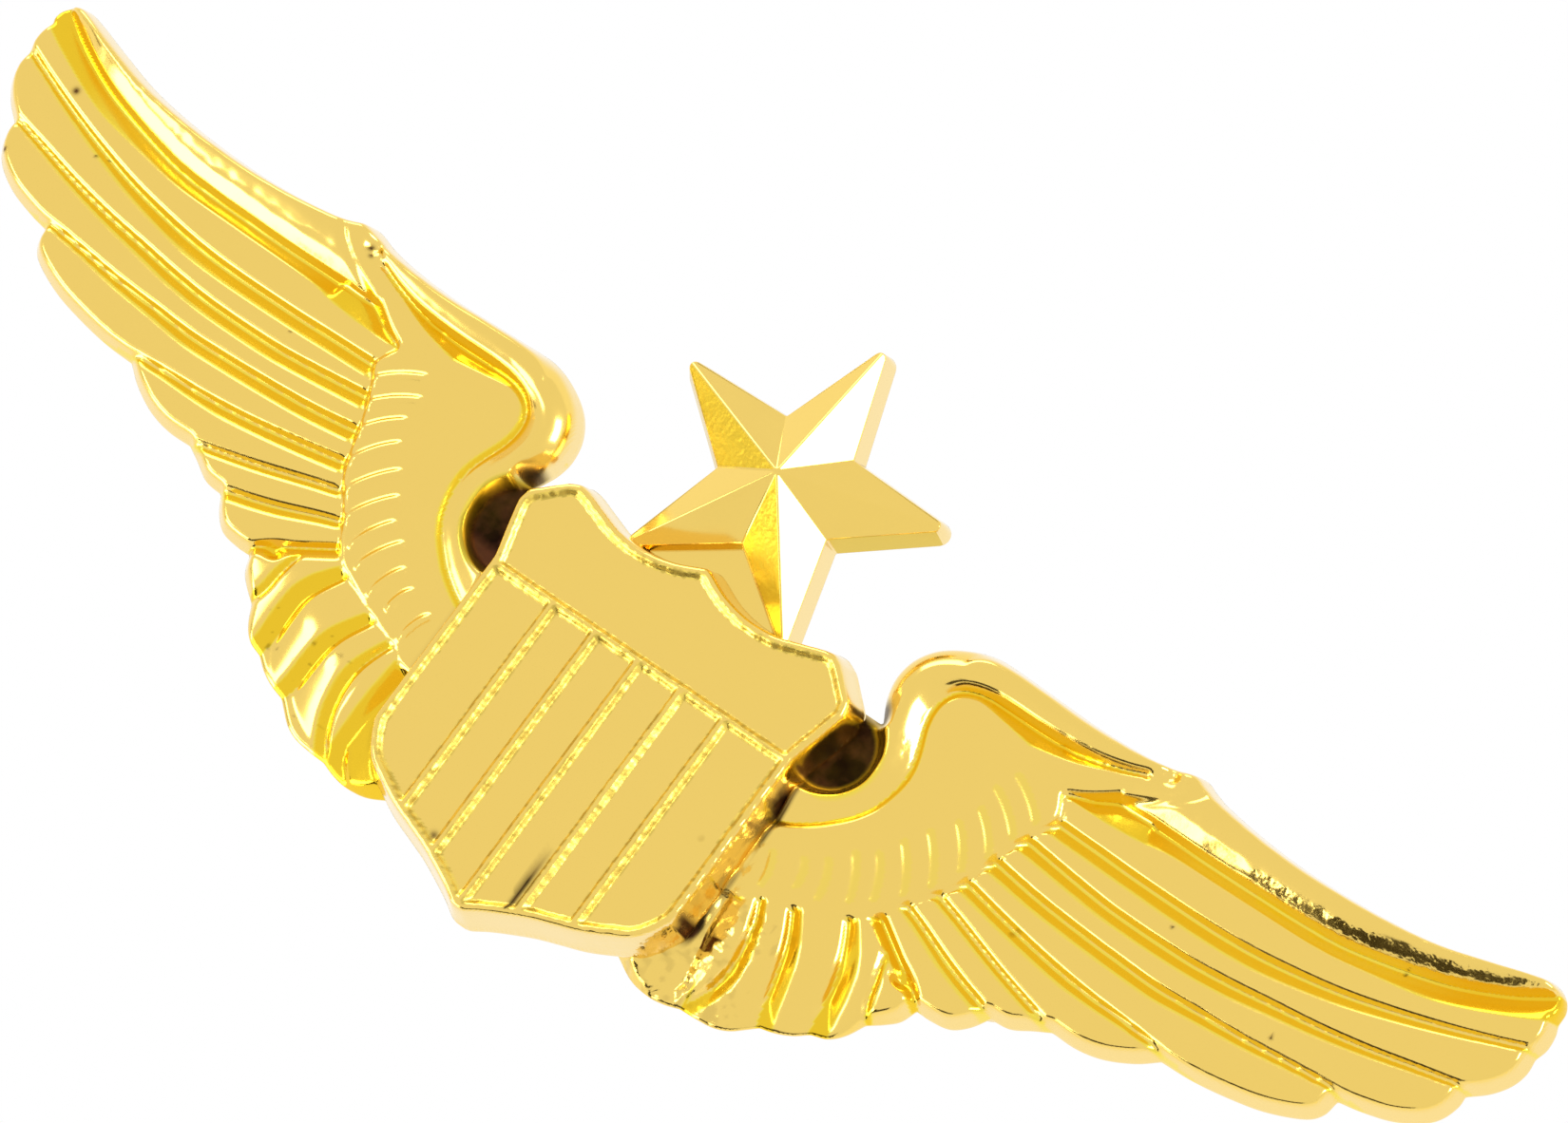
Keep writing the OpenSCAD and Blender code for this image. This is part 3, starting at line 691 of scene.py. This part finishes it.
def shaded(obj, angle):
    """Smooth shading, with edges sharper than the angle left crisp."""
    obj.data.shade_smooth()
    obj.data.set_sharp_from_angle(angle=math.radians(angle))
    return obj


def steps_between(low, high, pitch):
    return np.linspace(low, high, int(round((high - low) / pitch)) + 1)


def make_casting():
    grid = Grid(steps_between(-37.84, 37.84, CASTING_PITCH), steps_between(-12.08, 8.24, CASTING_PITCH))
    top, rim, masks = casting_heights(grid)
    bottom = BACK_SINK * np.clip((rim - BACK_RIM_W) / 0.25, 0, 1)
    obj = relief_mesh("wing_casting_relief", grid, top, bottom, rim, masks)
    finish_piece(obj, "badge", "gold_plate", gold(), "wing_casting")


def make_shield():
    """The shield's net has lines exactly on the edges of its ribs."""
    left, right = RIB_WALLS
    xs = steps_between(-8.8, 8.8, SHIELD_PITCH)
    for k in range(-2, 3):
        for offset in (-RIB_W / 2, left - RIB_W / 2, RIB_W / 2 - right, RIB_W / 2):
            edge = k * RIB_PITCH + offset
            xs[np.abs(xs - edge).argmin()] = edge
    grid = Grid(np.unique(np.round(xs, 5)), steps_between(-14.7, 3.6, SHIELD_PITCH))
    top, signed, masks = shield_heights(grid)
    obj = relief_mesh("shield_relief", grid, top, np.full(top.shape, WEB_Z), signed, masks)
    finish_piece(obj, "badge", "gold_plate", gold(), "shield")


def finish_piece(obj, body, slot, material, *nodes):
    obj.data.materials.clear()
    obj.data.materials.append(material)
    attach(obj, body)
    if nodes:
        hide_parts(*nodes)


# Star: sharp radius and inner radius of its top edge, roundness of the points, draft of its wall
STAR_Y = 12 - DRAWING_Y
STAR_R, STAR_INNER_R = 6.95, 2.84
STAR_POINT_R = 0.25
STAR_DRAFT = 0.22
BOSS_R = 0.22


def star_ring(grow):
    """Outline of the star grown by a margin, with how near to an arm's ridge each point is, from 0 to 1."""
    valley_x, valley_y = STAR_INNER_R * math.cos(math.radians(36)), STAR_INNER_R * math.sin(math.radians(36))
    half = math.atan2(valley_y, STAR_R - valley_x)
    valley_r = STAR_INNER_R + grow / math.cos(math.pi / 2 - half - math.radians(36))
    centre = STAR_R - STAR_POINT_R / math.sin(half)
    ring = []
    for arm in range(5):
        axis = math.radians(90 + 72 * arm)
        for k in range(-3, 4):
            turn = axis + (math.pi / 2 - half) * k / 3
            r = STAR_POINT_R + grow
            x = centre * math.cos(axis) + r * math.cos(turn)
            y = centre * math.sin(axis) + r * math.sin(turn)
            ring.append((x, y, 1 - abs(k) / 3))
        valley = axis + math.radians(36)
        ring.append((valley_r * math.cos(valley), valley_r * math.sin(valley), 0))
    return ring


def make_star():
    """Ten flat facets, a drafted wall with rounded points, and the flat foot that tucks under the shield."""
    bm = bmesh.new()
    ridge_end_z = STAR_EDGE_Z + 0.09

    def ring_verts(points, height):
        return [bm.verts.new((x * MM, (y + STAR_Y) * MM, height(t) * MM)) for x, y, t in points]

    edge = ring_verts(star_ring(0), lambda t: STAR_EDGE_Z + (ridge_end_z - STAR_EDGE_Z) * t)
    foot = ring_verts(star_ring(STAR_DRAFT), lambda t: SKIRT_Z)
    base = ring_verts(star_ring(STAR_DRAFT), lambda t: 0)
    boss = []
    for k in range(10):
        turn = math.radians(90 + 36 * k)
        r = BOSS_R * (1 if k % 2 == 0 else 0.8)
        z = STAR_PEAK_Z - (0.06 if k % 2 == 0 else 0.09)
        boss.append((r * math.cos(turn), r * math.sin(turn), z))
    boss = [bm.verts.new((x * MM, (y + STAR_Y) * MM, z * MM)) for x, y, z in boss]
    peak = bm.verts.new((0, STAR_Y * MM, STAR_PEAK_Z * MM))
    n = len(edge)
    for arm in range(5):
        tip = 8 * arm + 3
        left = [edge[(tip + k) % n] for k in range(0, 5)]
        right = [edge[(tip - k) % n] for k in range(0, 5)]
        ridge, after, before = boss[2 * arm], boss[(2 * arm + 1) % 10], boss[(2 * arm - 1) % 10]
        bm.faces.new([ridge] + left + [after])
        bm.faces.new([before] + right[::-1] + [ridge])
    for k in range(10):
        bm.faces.new([peak, boss[k], boss[(k + 1) % 10]])
    for upper, lower in ((edge, foot), (foot, base)):
        for k in range(n):
            bm.faces.new([upper[k], lower[k], lower[(k + 1) % n], upper[(k + 1) % n]])
    bm.faces.new(base[::-1])
    tab = placed([(-3.6, 5.1), (3.6, 5.1), (3.5, 7), (1.4, 10.4), (-1.4, 10.4), (-3.5, 7)])
    low = [bm.verts.new((x * MM, y * MM, 0.03 * MM)) for x, y in tab]
    high = [bm.verts.new((x * MM, y * MM, STAR_FOOT_Z * MM)) for x, y in tab]
    bm.faces.new(low[::-1])
    bm.faces.new(high)
    for k in range(len(tab)):
        bm.faces.new([low[k], low[(k + 1) % len(tab)], high[(k + 1) % len(tab)], high[k]])
    bm.normal_update()
    mesh = bpy.data.meshes.new("star_facets")
    bm.to_mesh(mesh)
    bm.free()
    obj = link("star_facets", mesh)
    bevel(obj, 0.06, 2, 14)
    stipple = obj.data.attributes.new("hammer", "FLOAT", "FACE")
    painted_deeper_gold = obj.data.attributes.new("painted_reflection", "FLOAT", "FACE")
    painted_darkening = obj.data.attributes.new("tarnish_and_painted_dark", "FLOAT", "FACE")
    for face in obj.data.polygons:
        n = face.normal
        # painted reflection and shade: the stippled facets facing -X -Y and the walls facing -Y get deeper
        # gold and some dark brown
        beaten = n.x < -0.3 and n.y < -0.4 and 0.6 < n.z < 0.9
        lower_wall = n.y < -0.6 and abs(n.z) < 0.4
        stipple.data[face.index].value = 1.0 if beaten else 0.0
        painted_deeper_gold.data[face.index].value = 0.8 if beaten or lower_wall else 0.0
        painted_darkening.data[face.index].value = 0.2 if beaten or lower_wall else 0.0
    finish_piece(obj, "badge", "gold_plate", gold(), "star")


def bevel(obj, width, segments, angle):
    """Rounds the edges that are sharper than an angle, in the mesh itself, and keeps the facets flat."""
    modifier = obj.modifiers.new("round", "BEVEL")
    modifier.width = width * MM
    modifier.segments = segments
    modifier.limit_method = "ANGLE"
    modifier.angle_limit = math.radians(angle)
    obj.data.shade_smooth()
    obj.modifiers.new("facets", "WEIGHTED_NORMAL")
    apply_modifiers(obj)


def apply_modifiers(obj):
    graph = bpy.context.evaluated_depsgraph_get()
    mesh = bpy.data.meshes.new_from_object(obj.evaluated_get(graph), depsgraph=graph)
    obj.modifiers.clear()
    obj.data = mesh


# ---------------------------------------------------------------- materials


def nodes_of(material):
    material.use_nodes = True
    tree = material.node_tree
    tree.nodes.clear()
    return tree, tree.nodes, tree.links


GOLD = (0.97, 0.69, 0.165)
BAND_GOLD = (0.96, 0.75, 0.085)  # where two slopes reflect each other
# painted reflection: the deepest gold, for slopes that reflect other gold most
DEEP_GOLD = (0.93, 0.61, 0.03)
# painted reflection of the bright floor in upright walls
FLOOR_REFLECTION_GOLD = (0.97, 0.76, 0.36)  # on upright walls
PIT_BROWN = (0.3, 0.17, 0.02)
# dark browns for real tarnish, also used for painted dark reflections and shade
TARNISH_AND_PAINTED_DARK, TARNISH_AND_PAINTED_BROWN = (0.012, 0.005, 0.003), (0.1, 0.035, 0.015)

_materials = {}


def gold():
    """Polished gold plate: painted deeper gold on slopes and in recesses where they reflect other gold,
    painted paler gold on upright walls where they reflect the floor, hammered where the mask says, with brown
    tarnish in the seams and painted dark reflections in the gaps.
    """
    if "gold" in _materials:
        return _materials["gold"]
    material = bpy.data.materials.new("gold_plate")
    tree, nodes, links = nodes_of(material)
    out = nodes.new("ShaderNodeOutputMaterial")
    shader = nodes.new("ShaderNodeBsdfPrincipled")
    links.new(shader.outputs[0], out.inputs[0])
    place = nodes.new("ShaderNodeTexCoord")

    def attribute(name):
        node = nodes.new("ShaderNodeAttribute")
        node.attribute_name = name
        return node.outputs["Fac"]

    def noise(scale, detail=2.0):
        node = nodes.new("ShaderNodeTexNoise")
        links.new(place.outputs["Object"], node.inputs["Vector"])
        node.inputs["Scale"].default_value = scale
        node.inputs["Detail"].default_value = detail
        return node.outputs["Fac"]

    def mapped(value, low, high, to_low, to_high):
        node = nodes.new("ShaderNodeMapRange")
        links.new(value, node.inputs["Value"])
        for key, number in zip(("From Min", "From Max", "To Min", "To Max"), (low, high, to_low, to_high)):
            node.inputs[key].default_value = number
        return node.outputs["Result"]

    def maths(operation, a, b):
        node = nodes.new("ShaderNodeMath")
        node.operation = operation
        for socket, value in zip(node.inputs, (a, b)):
            if isinstance(value, (int, float)):
                socket.default_value = value
            else:
                links.new(value, socket)
        return node.outputs[0]

    def mixed(factor, a, b):
        node = nodes.new("ShaderNodeMix")
        node.data_type = "RGBA"
        links.new(factor, node.inputs["Factor"])
        for socket, value in zip((node.inputs[6], node.inputs[7]), (a, b)):
            if isinstance(value, tuple):
                socket.default_value = (*value, 1)
            else:
                links.new(value, socket)
        return node.outputs[2]

    painted_reflection, hammer, tarnish_and_painted_dark = attribute("painted_reflection"), attribute("hammer"), attribute("tarnish_and_painted_dark")
    face = nodes.new("ShaderNodeNewGeometry")
    upright = nodes.new("ShaderNodeSeparateXYZ")
    links.new(face.outputs["True Normal"], upright.inputs[0])
    steep = mapped(upright.outputs["Z"], 0.5, 0.3, 0, 1)
    # painted reflection: deeper gold where the mask marks slopes that reflect other gold
    colour = mixed(mapped(painted_reflection, 0, 0.5, 0, 1), GOLD, BAND_GOLD)
    colour = mixed(mapped(painted_reflection, 0.5, 1, 0, 1), colour, DEEP_GOLD)
    # painted reflection: paler gold on upright faces, for the floor they reflect
    colour = mixed(maths("MULTIPLY", steep, maths("SUBTRACT", 1.0, painted_reflection)), colour, FLOOR_REFLECTION_GOLD)
    pits = nodes.new("ShaderNodeTexVoronoi")
    links.new(place.outputs["Object"], pits.inputs["Vector"])
    pits.inputs["Scale"].default_value = 700
    pit = mapped(pits.outputs["Distance"], 0.05, 0.14, 1, 0)
    rare = mapped(noise(190, 1), 0.66, 0.7, 0, 0.6)
    pit = maths("MULTIPLY", pit, rare)
    colour = mixed(pit, colour, PIT_BROWN)
    # dark brown where the mask says: real tarnish in the seams, painted dark reflections and shade elsewhere
    grime_and_painted_dark = maths("MULTIPLY", tarnish_and_painted_dark, mapped(noise(700, 3), 0.3, 0.6, 0.97, 1))
    tarnish_and_painted_dark_colour = mixed(mapped(noise(520, 4), 0.42, 0.62, 0, 1), TARNISH_AND_PAINTED_DARK, TARNISH_AND_PAINTED_BROWN)
    colour = mixed(grime_and_painted_dark, colour, tarnish_and_painted_dark_colour)
    links.new(colour, shader.inputs["Base Color"])
    shader.inputs["Metallic"].default_value = 1
    rough = mapped(noise(420, 3), 0.3, 0.7, 0.1, 0.17)
    rough = maths("ADD", rough, maths("MULTIPLY", grime_and_painted_dark, 0.3))
    stippled = maths("MINIMUM", maths("MULTIPLY", hammer, 0.12), maths("MULTIPLY", painted_reflection, 0.6))
    rough = maths("ADD", rough, stippled)
    links.new(rough, shader.inputs["Roughness"])

    peel = nodes.new("ShaderNodeBump")
    peel.inputs["Strength"].default_value = 0.12
    peel.inputs["Distance"].default_value = 0.00002
    links.new(noise(900, 2), peel.inputs["Height"])
    beaten = nodes.new("ShaderNodeBump")
    beaten.inputs["Distance"].default_value = 0.00004
    links.new(maths("MULTIPLY", hammer, 0.45), beaten.inputs["Strength"])
    links.new(noise(4200, 1), beaten.inputs["Height"])
    links.new(peel.outputs[0], beaten.inputs["Normal"])
    links.new(beaten.outputs[0], shader.inputs["Normal"])
    _materials["gold"] = material
    return material


def plated(name, colour, roughness):
    """Plain stamped metal with fine brushing and a little wear."""
    if name in _materials:
        return _materials[name]
    material = bpy.data.materials.new(name)
    tree, nodes, links = nodes_of(material)
    out = nodes.new("ShaderNodeOutputMaterial")
    shader = nodes.new("ShaderNodeBsdfPrincipled")
    links.new(shader.outputs[0], out.inputs[0])
    place = nodes.new("ShaderNodeTexCoord")
    noise = nodes.new("ShaderNodeTexNoise")
    noise.inputs["Scale"].default_value = 800
    links.new(place.outputs["Object"], noise.inputs["Vector"])
    ramp = nodes.new("ShaderNodeMapRange")
    ramp.inputs["To Min"].default_value = roughness * 0.8
    ramp.inputs["To Max"].default_value = roughness * 1.3
    links.new(noise.outputs["Fac"], ramp.inputs["Value"])
    links.new(ramp.outputs["Result"], shader.inputs["Roughness"])
    shader.inputs["Base Color"].default_value = (*colour, 1)
    shader.inputs["Metallic"].default_value = 1
    bump = nodes.new("ShaderNodeBump")
    bump.inputs["Strength"].default_value = 0.15
    bump.inputs["Distance"].default_value = 0.00002
    links.new(noise.outputs["Fac"], bump.inputs["Height"])
    links.new(bump.outputs[0], shader.inputs["Normal"])
    _materials[name] = material
    return material


def repaint_cad():
    """Metal for the CAD nodes that show as they are."""
    finishes = {"post": plated("post_metal", (0.93, 0.68, 0.22), 0.2),
                "clutch_spring": plated("spring_strip", (0.85, 0.62, 0.24), 0.28),
                "ear": plated("spring_strip", (0.85, 0.62, 0.24), 0.28),
                "clutch": plated("clutch_brass", (0.88, 0.65, 0.25), 0.22)}
    for name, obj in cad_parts.items():
        for key, material in finishes.items():
            if name.startswith(key):
                obj.data.materials.clear()
                obj.data.materials.append(material)
                break


# ---------------------------------------------------------------- camera, floor and light

LENS, SENSOR = 212.84, 36
AIM = Vector((1.757, 4.912, 1.0)) * MM
CAMERA_AZIMUTH, CAMERA_ELEVATION, CAMERA_ROLL = -23.0, 68.85, -31.81
CAMERA_DISTANCE = 359.24 * MM


def towards(azimuth, elevation):
    a, e = math.radians(azimuth), math.radians(elevation)
    return Vector((math.cos(a) * math.cos(e), math.sin(a) * math.cos(e), math.sin(e)))


def facing(position, target, roll=0.0):
    """Places something at a position so that its -Z looks at a target, turned about its line of sight."""
    back = (position - target).normalized()
    right = (-back).cross(Vector((0, 0, 1))).normalized()
    up = back.cross(right)
    r = math.radians(roll)
    right, up = right * math.cos(r) + up * math.sin(r), up * math.cos(r) - right * math.sin(r)
    matrix = Matrix((right, up, back)).transposed().to_4x4()
    matrix.translation = position
    return matrix


def make_camera():
    data = bpy.data.cameras.new("camera")
    data.lens, data.sensor_width = LENS, SENSOR
    data.clip_start, data.clip_end = 0.01, 10
    camera = bpy.data.objects.new("camera", data)
    bpy.context.scene.collection.objects.link(camera)
    position = AIM + towards(CAMERA_AZIMUTH, CAMERA_ELEVATION) * CAMERA_DISTANCE
    camera.matrix_world = facing(position, AIM, CAMERA_ROLL)
    bpy.context.scene.camera = camera


def card(name, azimuth, elevation, width, height, strength):
    """A card that only shows in reflections: bright with a high strength, dark with one near zero.

    Its width and height are angles seen from the origin, in degrees.
    """
    distance = 0.6
    bm = bmesh.new()
    bmesh.ops.create_grid(bm, x_segments=1, y_segments=1, size=0.5)
    mesh = bpy.data.meshes.new(name)
    bm.to_mesh(mesh)
    bm.free()
    obj = link(name, mesh)
    spread_w = 2 * distance * math.tan(math.radians(width / 2))
    spread_h = 2 * distance * math.tan(math.radians(height / 2))
    place = facing(towards(azimuth, elevation) * distance, Vector((0, 0, 0)))
    obj.matrix_world = place @ Matrix.Diagonal((spread_w, spread_h, 1, 1))
    material = bpy.data.materials.new(name)
    tree, nodes, links = nodes_of(material)
    out = nodes.new("ShaderNodeOutputMaterial")
    glow = nodes.new("ShaderNodeEmission")
    glow.inputs["Color"].default_value = (1, 0.98, 0.93, 1) if strength > 0.5 else (1, 0.85, 0.6, 1)
    glow.inputs["Strength"].default_value = strength
    links.new(glow.outputs[0], out.inputs[0])
    obj.data.materials.append(material)
    obj.visible_camera = obj.visible_diffuse = obj.visible_shadow = False


def make_studio():
    clutch_travel = 12 * MM  # the floor stays clear of the clutches when they are off their posts
    floor_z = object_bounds()[0][2] - clutch_travel
    bm = bmesh.new()
    bmesh.ops.create_grid(bm, x_segments=1, y_segments=1, size=1.5)
    mesh = bpy.data.meshes.new("floor")
    bm.to_mesh(mesh)
    bm.free()
    floor = link("floor", mesh)
    floor.location.z = floor_z
    material = bpy.data.materials.new("floor")
    tree, nodes, links = nodes_of(material)
    out = nodes.new("ShaderNodeOutputMaterial")
    glow = nodes.new("ShaderNodeEmission")
    links.new(glow.outputs[0], out.inputs[0])
    floor.data.materials.append(material)

    world = bpy.data.worlds.new("studio")
    world.use_nodes = True
    world.node_tree.nodes["Background"].inputs["Color"].default_value = (1, 1, 1, 1)
    world.node_tree.nodes["Background"].inputs["Strength"].default_value = 0.88
    bpy.context.scene.world = world
    card("card_right", 31, 29, 34, 20, 9)
    card("card_front_left", -121, 11.5, 38, 33, 5)
    card("card_fan", -149, 44, 20, 15, 5)
    card("card_left", 137, 22, 34, 26, 4)
    card("card_dark_front", -87.5, 15.5, 51, 19, 0.05)
    card("card_dark_low", -107, 6.5, 14, 9, 0.05)
    card("card_dark_upper", -91, 28.5, 18, 9, 0.05)
    card("card_dark_side", 213, 8.5, 8, 8, 0.3)
    bpy.context.scene.view_settings.view_transform = "Standard"


make_camera()
make_casting()
make_shield()
make_star()
repaint_cad()
make_studio()
